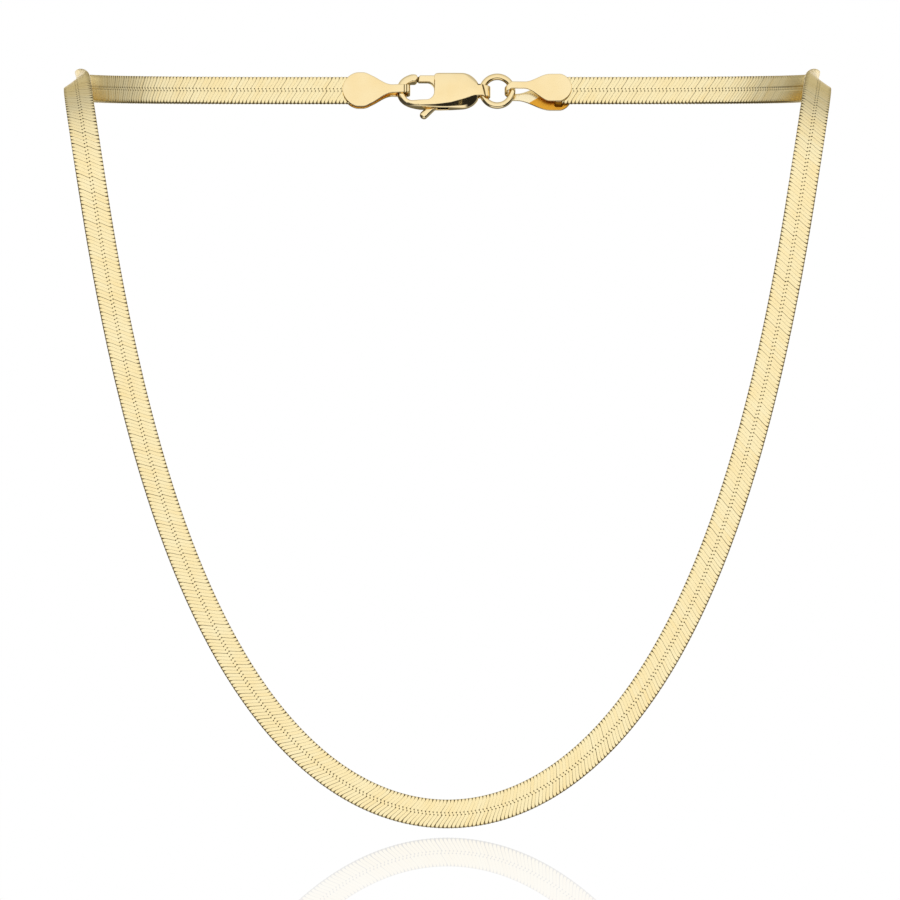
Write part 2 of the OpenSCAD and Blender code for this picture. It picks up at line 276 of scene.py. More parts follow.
# Stations of a link from its middle to its edge, as (v, n) points of its top
HALF_STATIONS = (
    (0.0, 0.388),
    (0.09, 0.39),
    (0.13, 0.392),
    (0.23, 0.397),
    (0.28, 0.399),
    (0.45, 0.4),
    (1.3, 0.4),
    (1.52, 0.4),
    (1.76, 0.4),
    (1.92, 0.397),
    (2.01, 0.381),
    (2.06, 0.335),
    (2.09, 0.23),
    (2.1, 0.0),
)
EDGE_ROUND_V = 1.8

# Slant of a link across the chain, as (v, slope) rows, and its jog between the two rows of dots
SLANT_ROWS = ((0.18, 0.4), (0.4, 0.65), (1.3, 0.65), (1.68, 0.34), (2.1, 0.0))
DOT_V = 0.18
DOT_SHIFT = 0.165 * PITCH
SLANT_STEPS = 400

# Gaps between links: lines of four kinds in turn, the dots, and the notches at the edges
LINE_GAPS = (0.04, 0.006, 0.018, 0.006)
LINE_SPREAD = (0.4, 1.5)
DOT_GAP = 0.14
DOT_REACH = 0.06
DOT_LINE_SHARE = 0.4
JOG_GAP = 0.02
JOG_SPREAD = (0.3, 2.2)
EDGE_GAP = 0.22
EDGE_SPREAD = (0.85, 1.15)
NOTCH_V = 1.52
NOTCH_CURVE = 1.3
MIN_GAP = 0.004

# Chance differences between links: how far one tilts, and how deep its gold is
LINK_TILT = 0.0022
TONE_MIDDLE = 0.12
TONE_SPREAD = 0.14
TONE_MOST = 0.6

# Section of a link beside a gap, as (extra width, share of the gap, depth) rows from its foot up
SHOULDER_ROWS = ((0.0, 0.0, LINK_DEPTH), (0.004, 0.15, 0.0085), (0.05, 0.3, 0.0))
SECTION_K = 2 * len(SHOULDER_ROWS)

# Sides of that section that face a gap or the core, which take the painted shade
WALL_SIDES = (0, SECTION_K - 2, SECTION_K - 1)

# The chain's two faces, as (direction, name, seed) rows
LINK_FACES = ((1, "front", 11), (-1, "back", 12))

FIRST_LINK = CHAIN_START + 0.8
LAST_LINK = CHAIN_STOP - 0.5
CORE_RINGS = 320


def stations():
    """Rows of v and n and the outward direction for a whole link, from edge to edge."""
    half = np.array(HALF_STATIONS)
    path = np.vstack([half[:0:-1] * [-1, 1], half])
    ahead = np.gradient(path, axis=0)
    ahead /= np.linalg.norm(ahead, axis=1)[:, None]
    out = np.stack([-ahead[:, 1], ahead[:, 0]], axis=1)
    out[0] = [-1, 0]
    out[-1] = [1, 0]
    return path, out


def depth_at(v, face_depth, edge_depth):
    """A depth that is face_depth under the flat faces and edge_depth at the edges."""
    return np.interp(np.abs(v), (EDGE_ROUND_V, CHAIN_W / 2), (face_depth, edge_depth))


def slant(v):
    """How far along the chain a link's middle line has gone at v."""
    rows = np.array(SLANT_ROWS)
    fine = np.linspace(DOT_V, CHAIN_W / 2, SLANT_STEPS)
    slopes = np.interp(fine, rows[:, 0], rows[:, 1])
    gone = np.concatenate([[0], np.cumsum((slopes[1:] + slopes[:-1]) / 2 * np.diff(fine))])
    a = np.abs(v)
    return np.sign(v) * np.where(a < DOT_V, -DOT_SHIFT * a / DOT_V, np.interp(a, fine, gone) - DOT_SHIFT)


def gap_widths(v, line, notch, jog, s):
    """Gap beside each link: rows are links, columns are stations."""
    a = np.abs(v)[None, :]
    to_edge = np.clip((a - NOTCH_V) / (CHAIN_W / 2 - NOTCH_V), 0, 1) ** NOTCH_CURVE
    gap = line[:, None] + (notch[:, None] - line[:, None]) * to_edge
    gap = np.where(a < DOT_V, jog[:, None], gap)
    gap = np.where(np.abs(a - DOT_V) < DOT_REACH, DOT_GAP + DOT_LINE_SHARE * line[:, None], gap)
    return np.maximum(gap - PITCH * bend(s)[:, None] * v[None, :], MIN_GAP)


def link_points(face, s_first, rng):
    """Points of all links of one face, as links x stations x section, and their tones."""
    count = int((LAST_LINK - s_first) / PITCH)
    s = s_first + PITCH * np.arange(count)
    path, out = stations()
    v = path[:, 0]
    order = np.arange(count + 1)
    line = np.array(LINE_GAPS)[order % len(LINE_GAPS)] * rng.uniform(*LINE_SPREAD, count + 1)
    notch = EDGE_GAP * rng.uniform(*EDGE_SPREAD, count + 1) + line
    jog = JOG_GAP * rng.uniform(*JOG_SPREAD, count + 1)
    gaps = gap_widths(v, line, notch, jog, np.append(s, s[-1] + PITCH))
    shrink = 1 - bend(s)[:, None] * v[None, :]
    left = -PITCH / 2 + gaps[:-1] / 2 / shrink
    right = PITCH / 2 - gaps[1:] / 2 / shrink
    tilt = rng.normal(0, LINK_TILT, count)[:, None]
    foot_share = depth_at(v, 1.0, EDGE_DEPTH / LINK_DEPTH)[None, :]
    along_left = [left + wide + share * gaps[:-1] for wide, share, _ in SHOULDER_ROWS]
    along_right = [right - wide - share * gaps[1:] for wide, share, _ in SHOULDER_ROWS]
    sinks = [foot_share * depth for _, _, depth in SHOULDER_ROWS]
    depth_left = [sinks[0] + 0 * left] + [sink + tilt for sink in sinks[1:]]
    depth_right = [sinks[0] + 0 * left] + [sink - tilt for sink in sinks[1:]]
    along = np.stack(along_left + along_right[::-1], axis=-1)
    along += face * slant(v)[None, :, None] + s[:, None, None]
    depth = np.stack(depth_left + depth_right[::-1], axis=-1)
    across = v[None, :, None] - out[None, :, :1] * depth
    height = face * (path[None, :, 1:] - out[None, :, 1:] * depth)
    tones = np.clip(rng.normal(TONE_MIDDLE, TONE_SPREAD, count), 0, TONE_MOST)
    return along, across, height, tones


def link_faces(count, station_n, flipped):
    """Faces of count links, and which of them are walls of a groove, which take the painted shade."""
    block = station_n * SECTION_K
    faces = []
    walls = []
    for j in range(station_n - 1):
        for k in range(SECTION_K):
            a = j * SECTION_K + k
            b = j * SECTION_K + (k + 1) % SECTION_K
            faces.append((a, b, b + SECTION_K, a + SECTION_K))
            walls.append(1 if k in WALL_SIDES else 0)
    ring = tuple(range(SECTION_K))
    faces.append(ring[::-1])
    faces.append(tuple(block - SECTION_K + k for k in ring))
    walls += [1, 1]
    if flipped:
        faces = [f[::-1] for f in faces]
    whole = [tuple(i * block + p for p in f) for i in range(count) for f in faces]
    return whole, walls * count


def build_links():
    """The woven links: two faces, each with a left and a right piece."""
    middle = LINK_COUNT // 2
    for face, side_name, seed in LINK_FACES:
        rng = np.random.default_rng(seed)
        s_first = FIRST_LINK + (0 if face > 0 else PITCH / 2)
        along, across, height, tones = link_points(face, s_first, rng)
        points = route.place(along, across, height)
        for part, rows in (("left", slice(None, middle)), ("right", slice(middle, None))):
            chosen = points[rows]
            faces, walls = link_faces(len(chosen), chosen.shape[1], face < 0)
            # The walls of the grooves take the painted shade gold
            obj = add_mesh(f"links_{side_name}_{part}", chosen, faces, [chain_gold, painted_shade_gold], walls)
            tone = obj.data.attributes.new("tone", "FLOAT", "POINT")
            point_tones = np.repeat(tones[rows], chosen.shape[1] * SECTION_K)
            tone.data.foreach_set("value", point_tones.astype(np.float32))
            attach(obj, "necklace")
            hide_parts("chain")


def build_core():
    """The band that shows only at the bottom of the grooves, round its whole section, all in painted shade
    for the dark deep in the grooves.
    """
    path, out = stations()
    inner = path - out * depth_at(path[:, 0], CORE_DEPTH, EDGE_CORE_DEPTH)[:, None]
    ring = np.vstack([inner, (inner * [1, -1])[-2:0:-1]])
    ring_n = len(ring)
    s = np.linspace(CHAIN_START, CHAIN_STOP, CORE_RINGS)[:, None]
    points = route.place(s, ring[:, 0], ring[:, 1])
    faces = []
    for i in range(CORE_RINGS - 1):
        for k in range(ring_n):
            a = i * ring_n + k
            b = i * ring_n + (k + 1) % ring_n
            faces.append((a, b, b + ring_n, a + ring_n))
    faces.append(tuple(range(ring_n))[::-1])
    last = (CORE_RINGS - 1) * ring_n
    faces.append(tuple(last + k for k in range(ring_n)))
    obj = add_mesh("chain_core", points, faces, [painted_shade_gold])
    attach(obj, "necklace")
    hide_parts("chain")


# Clasp group, in its own upright frame: x along the nape, y back, z up

WRAP_TURNS = 180
BLUR_REACH = 2.5
SNAP_STEPS = 2

# Lengths by which cuts and open ends run on, a short one and one past the whole body
PAST = 1.0
FAR = 9.0

# Golds of the cast pieces, and their numbers: polished gold, a satin gold made paler as painted light, a
# painted orange reflection, a painted shade and a painted shadow
CAST_GOLDS = [clasp_gold, satin_painted_light_gold, painted_reflection_gold, painted_shade_gold, painted_shadow_gold]
POLISHED, SATIN_PAINTED_LIGHT, PAINTED_REFLECTION, PAINTED_SHADE, PAINTED_SHADOW = range(len(CAST_GOLDS))


class Volume:
    """Grid of points over a box, as one open array for each axis.

    Outlines and forms on it are signed distances, negative inside.
    """

    def __init__(self, low, high, step):
        self.low = np.array(low)
        self.step = step
        lines = [np.arange(a, b + step, step) for a, b in zip(low, high)]
        self.x = lines[0][:, None, None]
        self.y = lines[1][None, :, None]
        self.z = lines[2][None, None, :]


def disc(a, b, centre, r):
    return np.hypot(a - centre[0], b - centre[1]) - r


def rectangle(a, b, low, high, r=0.0):
    """Rectangle between two corners, its own corners rounded by r."""
    out_a = np.abs(a - (low[0] + high[0]) / 2) - (high[0] - low[0]) / 2 + r
    out_b = np.abs(b - (low[1] + high[1]) / 2) - (high[1] - low[1]) / 2 + r
    return np.hypot(np.maximum(out_a, 0), np.maximum(out_b, 0)) + np.minimum(np.maximum(out_a, out_b), 0) - r


def polygon(a, b, points):
    """Any closed outline of straight edges."""
    nearest = np.inf
    inside = False
    for (a0, b0), (a1, b1) in zip(points, points[1:] + points[:1]):
        run, rise = a1 - a0, b1 - b0
        share = np.clip(((a - a0) * run + (b - b0) * rise) / (run * run + rise * rise), 0, 1)
        nearest = np.minimum(nearest, (a - a0 - run * share) ** 2 + (b - b0 - rise * share) ** 2)
        if rise != 0:
            spans = (b >= min(b0, b1)) & (b < max(b0, b1))
            inside = inside ^ (spans & (a < a0 + (b - b0) * run / rise))
    return np.where(inside, -1, 1) * np.sqrt(nearest)


def strip(a, b, rows):
    """Outline of rows (a, lowest b, highest b)."""
    return polygon(a, b, [(r[0], r[2]) for r in rows] + [(r[0], r[1]) for r in rows[::-1]])


def wrap(a, b, discs):
    """Tight wrap round discs of rows (a, b, radius)."""
    field = -np.inf
    for turn in np.linspace(0, 2 * math.pi, WRAP_TURNS, endpoint=False):
        c, s = math.cos(turn), math.sin(turn)
        field = np.maximum(field, a * c + b * s - max(d[0] * c + d[1] * s + d[2] for d in discs))
    return field


def edge_fall(outline, r):
    """How far a face falls away within r of its outline, as a quarter round."""
    inward = np.clip(-outline / r, 0, 1)
    return r * (1 - np.sqrt(1 - (1 - inward) ** 2))


def rounded_plate(y, half_depth, outline, r):
    """A plate of one outline, its faces rounded off by r towards its edge."""
    return np.maximum(outline, np.abs(y) - half_depth + edge_fall(outline, r))


def softened(field, cells):
    """The field blurred over some cells, which rounds all edges and fillets all corners."""
    reach = int(math.ceil(BLUR_REACH * cells))
    weights = np.exp(-0.5 * (np.arange(-reach, reach + 1) / cells) ** 2)
    weights /= weights.sum()
    for axis in range(3):
        pads = [(reach, reach) if k == axis else (0, 0) for k in range(3)]
        padded = np.moveaxis(np.pad(field, pads, mode="edge"), axis, 0)
        n = field.shape[axis]
        blurred = sum(w * padded[i:i + n] for i, w in enumerate(weights))
        field = np.moveaxis(blurred, 0, axis)
    return field


def sample(grid, places):
    """Values of a grid between its points, at places counted in cells."""
    base = np.clip(places.astype(int), 0, np.array(grid.shape[:3]) - 2)
    part = places - base
    total = 0
    for corner in np.ndindex(2, 2, 2):
        weight = np.prod(np.where(corner, part, 1 - part), axis=1)
        values = grid[tuple((base + corner).T)]
        total = total + (weight[:, None] * values if values.ndim > 1 else weight * values)
    return total


def zero_surface(field):
    """Vertices, in cells, and quads of the surface where the field is zero."""
    cells = np.array(field.shape) - 1
    inside = field < 0
    moved = np.zeros((*cells, 3))
    count = np.zeros(cells)
    edges = []
    for axis in range(3):
        low, high = np.moveaxis(field, axis, 0)[:-1], np.moveaxis(field, axis, 0)[1:]
        low_in = np.moveaxis(inside, axis, 0)[:-1]
        crossing = low_in != np.moveaxis(inside, axis, 0)[1:]
        share = np.where(crossing, low / np.where(crossing, low - high, 1), 0)
        axes = (axis, *[k for k in range(3) if k != axis])
        for d in np.ndindex(2, 2):
            window = (slice(None), *[slice(o, o + cells[k]) for o, k in zip(d, axes[1:])])
            hits = np.moveaxis(crossing[window].astype(float), 0, axis)
            count += hits
            moved[..., axis] += np.moveaxis(share[window], 0, axis)
            for o, k in zip(d, axes[1:]):
                moved[..., k] += hits * o
        edges.append((np.moveaxis(crossing, 0, axis), np.moveaxis(low_in, 0, axis)))
    used = count > 0
    number = np.cumsum(used).reshape(used.shape) - 1
    vertices = np.argwhere(used) + moved[used] / count[used][:, None]
    quads = []
    for axis, (crossing, low_in) in enumerate(edges):
        places = np.argwhere(crossing)
        b, c = (axis + 1) % 3, (axis + 2) % 3
        places = places[(places[:, b] > 0) & (places[:, c] > 0)]
        places = places[(places[:, b] < cells[b]) & (places[:, c] < cells[c])]
        ring = []
        for back_b, back_c in ((1, 1), (0, 1), (0, 0), (1, 0)):
            cell = places.copy()
            cell[:, b] -= back_b
            cell[:, c] -= back_c
            ring.append(number[tuple(cell.T)])
        quad = np.stack(ring, axis=1)
        flip = ~low_in[tuple(places.T)]
        quad[flip] = quad[flip][:, ::-1]
        quads.append(quad)
    return vertices, np.vstack(quads)


def cast_piece(name, node, body, volume, field, soften, golds_of):
    """A polished piece from its field, leant back with the nape, in place of its node.

    The function golds_of takes the faces' middles and gives the number of each face's gold in CAST_GOLDS.
    """
    field = softened(field, soften)
    places, quads = zero_surface(field)
    slopes = np.stack(np.gradient(field), axis=-1)
    for _ in range(SNAP_STEPS):
        slope = sample(slopes, places)
        places = places - sample(field, places)[:, None] * slope / (slope**2).sum(axis=1)[:, None]
    points = volume.low + volume.step * places
    golds = golds_of(*points[quads].mean(axis=1).T)
    x, y, z = points.T
    lean = math.radians(NAPE_TILT)
    leant = [x, y * math.cos(lean) + z * math.sin(lean), z * math.cos(lean) - y * math.sin(lean)]
    obj = add_mesh(name, np.stack(leant, axis=1) * MM, quads.tolist(), CAST_GOLDS, golds, sharp_deg=180)
    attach(obj, body)
    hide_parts(node)


# Both caps: folded sheet, with two lobes that hold the chain's end between them

CAP_SHEET = 0.4
CAP_PLAY = 0.05
CAP_STEP = 0.065
CAP_SOFTEN = 1.4
INSIDE_PLAY = 0.12
INSIDE_RIM = 0.08
TAPER_STEPS = 10


def smooth(u):
    """Runs from 0 to 1, level at both ends."""
    c = np.clip(u, 0, 1)
    return c * c * (3 - 2 * c)


def cap_gap(x, bend_x, bail_gap, lobe_x):
    """Half the gap inside a folded cap at x."""
    closed = CHAIN_T / 2 + CAP_PLAY
    return closed + (bail_gap - closed) * (1 - smooth((x - bend_x) / (lobe_x - bend_x)))


def cap_section(x, y, bend_x, bail_gap, corner_r, lobe_x, far_x):
    """Section of a folded cap: round its bail at bend_x, and open towards far_x."""
    along = np.append(np.linspace(bend_x, lobe_x, TAPER_STEPS + 1), far_x)
    gaps = cap_gap(along, bend_x, bail_gap, lobe_x)
    away = math.copysign(1, far_x - bend_x)
    outer = strip(x, y, [(a, -g - CAP_SHEET, g + CAP_SHEET) for a, g in zip(along, gaps)])
    along[-1] += away
    inner = strip(x, y, [(a, -g, g) for a, g in zip(along, gaps)])
    low, high = sorted((bend_x - away * corner_r, bend_x + away * 2 * corner_r))
    bail_in = rectangle(x, y, (low, -bail_gap), (high, bail_gap), corner_r)
    low, high = low - CAP_SHEET, high + CAP_SHEET
    outer_gap = bail_gap + CAP_SHEET
    bail_out = rectangle(x, y, (low, -outer_gap), (high, outer_gap), corner_r + CAP_SHEET)
    return np.maximum(np.minimum(outer, bail_out), -np.minimum(inner, bail_in))


def cap_lobe(x, z, centre, r, flat):
    return np.maximum(disc(x, z, centre, r), np.abs(z - centre[1]) - flat)


# Left cap

LEFT_LOBE = (-13.1, 0.0)
LEFT_LOBE_R = 2.72
LEFT_FLAT = 2.68
LEFT_NECK_X = -8.3
LEFT_SHOULDER_X = -12.4
LEFT_SHOULDER_HALF = 2.45
LEFT_BAIL_GAP = 1.1
LEFT_CORNER_R = 0.3
LEFT_BAIL_END = -5.6
LEFT_OUTLINE_END = -5.0
LEFT_INSIDE_X = -8.6
LEFT_BAIL_W = 1.3
LEFT_CREASES = (-6.51, -6.16)
CREASE_HALF = 0.075
CREASE_DEPTH = 0.12
CREASE_PLAY = 0.1
LEFT_BOX = ((-16.1, -1.9, -3.0), (-5.3, 1.9, 3.0))


def build_cap_left():
    """The left cap, with two creases across the front of its bail."""
    volume = Volume(*LEFT_BOX, CAP_STEP)
    x, y, z = volume.x, volume.y, volume.z
    rows = [(LEFT_OUTLINE_END, -LEFT_BAIL_W / 2, LEFT_BAIL_W / 2)]
    for u in np.linspace(0, 1, TAPER_STEPS + 1):
        half = LEFT_BAIL_W / 2 + (LEFT_SHOULDER_HALF - LEFT_BAIL_W / 2) * smooth(u)
        rows.append((LEFT_NECK_X + (LEFT_SHOULDER_X - LEFT_NECK_X) * u, -half, half))

    def outline(a, b):
        return np.minimum(cap_lobe(a, b, LEFT_LOBE, LEFT_LOBE_R, LEFT_FLAT), strip(a, b, rows))

    bend_x = LEFT_BAIL_END - CAP_SHEET - LEFT_CORNER_R
    far_x = LEFT_LOBE[0] - LEFT_LOBE_R - PAST
    section = cap_section(x, y, bend_x, LEFT_BAIL_GAP, LEFT_CORNER_R, LEFT_SHOULDER_X, far_x)
    front_y = -LEFT_BAIL_GAP - CAP_SHEET
    crease_y = front_y + CREASE_DEPTH
    for crease_x in LEFT_CREASES:
        crease = rectangle(x, y, (crease_x - CREASE_HALF, front_y - PAST), (crease_x + CREASE_HALF, crease_y))
        section = np.maximum(section, -crease)

    def golds_of(face_x, face_y, face_z):
        gap = cap_gap(face_x, bend_x, LEFT_BAIL_GAP, LEFT_SHOULDER_X)
        within = outline(face_x, face_z) < -INSIDE_RIM
        # Inside faces take the painted orange reflection of the facing plate
        inside = within & (face_x < LEFT_INSIDE_X) & (np.abs(face_y) < gap + INSIDE_PLAY)
        # The creases take the painted shade gold
        nearest = np.min([np.abs(face_x - crease_x) for crease_x in LEFT_CREASES], axis=0)
        creased = (nearest < CREASE_HALF) & (face_y < crease_y + CREASE_PLAY)
        return np.where(creased, PAINTED_SHADE, np.where(inside, PAINTED_REFLECTION, POLISHED))

    cap = np.maximum(outline(x, z), section)
    cast_piece("cap_left", "end_cap_left", "necklace", volume, cap, CAP_SOFTEN, golds_of)


# Right cap: its bail winds down round the jump ring, so the back half lies lower

RIGHT_LOBE_X = 16.5
RIGHT_LOBE_R = 2.2
RIGHT_FLAT = 2.14
RIGHT_NECK_X = {1: 11.6, -1: 10.4}
RIGHT_SHOULDER_X = 15.4
RIGHT_BAIL_GAP = 0.7
RIGHT_BAIL_HALF = 0.56
RIGHT_CORNER_R = 0.62
RIGHT_BAIL_END = 8.56
RIGHT_MIDDLE_Z = -0.1
RIGHT_FRONT_Z = 0.3
RIGHT_RISE = 0.72
RIGHT_BOX = ((8.3, -1.4, -3.2), (18.95, 1.4, 2.8))
BAIL_TURNS = 9

# Line (x, z, run for each rise) past which the right cap's inside has the painted orange reflection of the
# facing plate
RIGHT_INSIDE = (12.0, -1.9, 1.7)

# A dark fill between the right cap's plates, as corners (x, z), painted as the shadow deep inside the cap
SHADE_FILL_LOW = (16.1, -2.4)
SHADE_FILL_HIGH = (17.3, -1.0)
SHADE_FILL_R = 0.3
SHADE_FILL_T = CHAIN_T + 4 * CAP_PLAY


def right_front(x, z, side):
    """One half's outline from the front; side is 1 for the front half and -1 for the back half."""
    outer_r = RIGHT_CORNER_R + CAP_SHEET
    bend_x = RIGHT_BAIL_END + outer_r
    neck_x = RIGHT_NECK_X[side]
    edge = RIGHT_MIDDLE_Z + side * RIGHT_RISE
    rise = RIGHT_FRONT_Z - edge if side > 0 else 0.0
    rows = []
    for turn in np.linspace(0, QUARTER, BAIL_TURNS):
        middle = RIGHT_MIDDLE_Z + side * RIGHT_RISE * (turn / QUARTER) ** 2
        rows.append((bend_x - outer_r * math.cos(turn), middle - RIGHT_BAIL_HALF, middle + RIGHT_BAIL_HALF))
    for u in np.linspace(0, 1, TAPER_STEPS + 1):
        middle = edge + rise * smooth(u)
        half = RIGHT_BAIL_HALF + (RIGHT_FLAT - RIGHT_BAIL_HALF) * smooth(u)
        rows.append((neck_x + (RIGHT_SHOULDER_X - neck_x) * u, middle - half, middle + half))
    lobe_z = edge + rise
    rows.append((RIGHT_LOBE_X, lobe_z - RIGHT_FLAT, lobe_z + RIGHT_FLAT))
    return np.minimum(cap_lobe(x, z, (RIGHT_LOBE_X, lobe_z), RIGHT_LOBE_R, RIGHT_FLAT), strip(x, z, rows))


def build_cap_right():
    """The right cap, whose two halves have outlines of their own, with a dark fill between them painted as
    the shadow inside the cap.
    """
    volume = Volume(*RIGHT_BOX, CAP_STEP)
    x, y, z = volume.x, volume.y, volume.z

    def outline(a, across, b):
        return np.where(across < 0, right_front(a, b, 1), right_front(a, b, -1))

    bend_x = RIGHT_BAIL_END + RIGHT_CORNER_R + CAP_SHEET
    far_x = RIGHT_LOBE_X + RIGHT_LOBE_R + PAST
    section = cap_section(x, y, bend_x, RIGHT_BAIL_GAP, RIGHT_CORNER_R, RIGHT_SHOULDER_X, far_x)
    shade_fill = np.maximum(rectangle(x, z, SHADE_FILL_LOW, SHADE_FILL_HIGH, SHADE_FILL_R), np.abs(y) - SHADE_FILL_T / 2)
    cap = np.minimum(np.maximum(outline(x, y, z), section), shade_fill)

    def golds_of(face_x, face_y, face_z):
        gap = cap_gap(face_x, bend_x, RIGHT_BAIL_GAP, RIGHT_SHOULDER_X)
        within = outline(face_x, face_y, face_z) < -INSIDE_RIM
        inside = within & (face_x > bend_x) & (np.abs(face_y) < gap + INSIDE_PLAY)
        # Inside faces past this line take the painted orange reflection, and the rest of the inside the paler
        # satin gold, painted light
        start_x, start_z, slope = RIGHT_INSIDE
        past = face_x > start_x + (face_z - start_z) * slope
        # The dark fill's faces take the painted shadow
        shade_filled = rectangle(face_x, face_z, SHADE_FILL_LOW, SHADE_FILL_HIGH, SHADE_FILL_R) < CAP_STEP
        shade_filled = shade_filled & (np.abs(face_y) < SHADE_FILL_T / 2 + CAP_STEP)
        return np.where(shade_filled, PAINTED_SHADOW, np.where(inside & past, PAINTED_REFLECTION, np.where(inside, SATIN_PAINTED_LIGHT, POLISHED)))

    cast_piece("cap_right", "end_cap_right", "necklace", volume, cap, CAP_SOFTEN, golds_of)


# Clasp body

CLASP_Z = -0.1
BODY_BOX = ((-7.95, -1.65, -3.0), (6.7, 1.65, 2.8))
BODY_STEP = 0.06
BODY_SOFTEN = 0.85

# Discs (x, z, radius) whose wraps are the body's outline and the outline of its flat face
MIDDLE_DISCS = ((-5.15, CLASP_Z, 2.57), (-4.0, -0.2, 2.6), (2.2, -0.2, 2.7), (2.2, CLASP_Z, 2.65))
FACE_DISCS = (
    (-5.15, CLASP_Z, 2.38),
    (-4.0, -1.5, 0.86),
    (-2.2, -1.5, 0.9),
    (0.2, -1.1, 1.0),
    (2.1, 0.93, 1.3),
    (4.2, -0.1, 0.8),
)
BEVEL_SLOPE = 0.58

# Half the body's thickness, as (x, y) rows, before its low dome falls off
CLASP_TOP = (
    (-7.8, 0.6),
    (-7.6, 0.76),
    (-7.2, 0.85),
    (-6.0, 0.85),
    (-5.1, 1.1),
    (-4.2, 1.33),
    (-3.4, 1.4),
    (1.6, 1.4),
    (2.2, 1.39),
    (2.8, 1.36),
    (3.4, 1.3),
    (4.0, 1.21),
    (4.6, 1.1),
    (5.2, 1.05),
)
DOME = 0.1
DOME_REACH = 1.5

# Rounding of the upper and the lower rim along x, blended between the heights RIM_Z
RIM_X = (-6.4, -4.6, -2.8, 1.0, 3.6)
UPPER_RIM_R = (0.6, 0.45, 0.35, 0.35, 0.35)
LOWER_RIM_R = (0.6, 0.2, 0.07, 0.07, 0.1)
RIM_Z = (-1.4, 0.2)

# Chamfer along the lower rim, as its width at places along x
CHAMFER_X = (-6.4, -4.6, 0.0, 2.8)
CHAMFER_W = (0.0, 0.15, 0.18, 0.45)
CHAMFER_SLOPE = 1.0

# Window, the rounding of its rim, the hook's tip and the body's rounded corner beside the gate
WINDOW_RIM_X = (-5.4, -3.4)
WINDOW_RIM_R = (0.3, 0.12)
WINDOW_CORNER_Z = (-1.3, -0.6, 0.7, 1.1, 1.4)
WINDOW_CORNER_R = (0.12, 0.15, 0.35, 0.35, 0.12)
WINDOW_LOW = (-6.4, -1.71)
WINDOW_HIGH = (-2.03, 1.08)
WINDOW_R = 1.2
WAY_OUT_H = 5.0
TIP_X = -5.18
TIP_R = 0.68
SHOULDER_R = 0.7
SHOULDER_OVERLAP = 0.1
BODY_TOP = 2.55

# Eyelet: a band round the ring's hole, with a slanting line, a lower end past the line, and a nub above it
EYELET_X = (4.1, 6.45)
EYELET_H = 1.75
EYELET_DEPTH = 2.1
EYELET_HOLE_X = (4.6, 6.06)
EYELET_HOLE_DEPTH = 1.26
EYELET_LINE = (5.36, 5.56)
EYELET_LINE_DEPTH = 0.16
EYELET_SLANT = 0.25
EYELET_SINK = 0.16
EYELET_SINK_RUN = 0.1
NUB_LOW = (4.5, 0.6)
NUB_HIGH = (4.98, 0.98)
NUB_R = 0.12
NUB_T = 1.1
EYELET_LINE_TOP = NUB_LOW[1] + 0.2

# Lever on the body's cross pin, as points from the pivot

PIVOT = (-0.9, 0.9)
PIN_D = 0.8
PIN_PLAY = 0.06
PIN_SEAT = 0.3
HUB_R = 0.85
LEVER_T = 1.15
SLOT_PLAY = 0.08
SLOT_T = LEVER_T + 2 * SLOT_PLAY
SLOT_GAP = 0.1
SLOT_BELOW = 0.6
OPEN_DEG = 24
SWEEP_STEPS = 5
FILLET_R = 1.1
FILLET_POINTS = 13
FILLET_OVERLAP = 0.5
GATE_REACH = 3.56
GATE_MIDDLE = 0.5
GATE = [(-0.2, 0.8), (-1.13, 1.38), (-GATE_REACH, 1.38), (-GATE_REACH, 0.32), (-0.6, 0.32), (-0.1, 0.2)]
ARM = [(-0.65, 0.1), (-1.4, -3.66), (-0.62, -3.66), (0.5, 0.1)]

# Side of the arm that each of its points is on, and how far the arm leans for each length below them
ARM_SIDES = (-1, -1, 1, 1)
ARM_SLOPE = 0.2

HEAD = (-2.65, -4.74)
HEAD_R = 0.64
NECK = [(-1.4, -3.66), (-2.4, -3.72), (-3.07, -4.26), (-2.25, -5.24), (-0.97, -3.96), (-0.62, -3.66)]
TONGUE_REACH = 3.82
TONGUE_T = 0.7
TONGUE_B = (0.45, 1.2)
TIP_GROOVE_R = 3.92
TIP_GROOVE_T = 0.86
LEVER_BOX = ((-4.8, -0.85, -4.8), (0.2, 0.85, 2.55))
LEVER_STEP = 0.06
LEVER_SOFTEN = 1.1
LEVER_ROUND_Z = (-4.1, -3.5)
LEVER_ROUND = (0.5, 0.12)


def window_outline(x, z):
    """Window, its way out past the hook's tip, and the body's rounded corner beside the gate."""
    window = rectangle(x, z, WINDOW_LOW, WINDOW_HIGH, WINDOW_R)
    out_z = WINDOW_HIGH[1] - WINDOW_R
    way_out = rectangle(x, z, (TIP_X, out_z), (WINDOW_HIGH[0], out_z + WAY_OUT_H))
    way_out = np.maximum(way_out, -disc(x, z, (TIP_X, WINDOW_HIGH[1] + TIP_R), TIP_R))
    side_x, low_z = WINDOW_HIGH[0], BODY_TOP - SHOULDER_R
    centre = (side_x + SHOULDER_R, low_z)
    corner = rectangle(x, z, (side_x - SHOULDER_OVERLAP, low_z), (centre[0], low_z + SHOULDER_R + PAST))
    corner = np.maximum(corner, -disc(x, z, centre, SHOULDER_R))
    return np.minimum(np.minimum(window, way_out), corner)


def fillet_points(grown):
    """The lever's fillet between its gate and the window's side, grown on its open side."""
    side = WINDOW_HIGH[0] - PIVOT[0]
    centre = (side - FILLET_R, GATE[3][1] - FILLET_R)
    r = FILLET_R - grown
    turns = np.linspace(QUARTER, 0, FILLET_POINTS)
    arc = [(centre[0] + r * math.cos(turn), centre[1] + r * math.sin(turn)) for turn in turns]
    far_side = side + FILLET_OVERLAP
    return arc + [(far_side, centre[1] - grown), (far_side, GATE[3][1])]


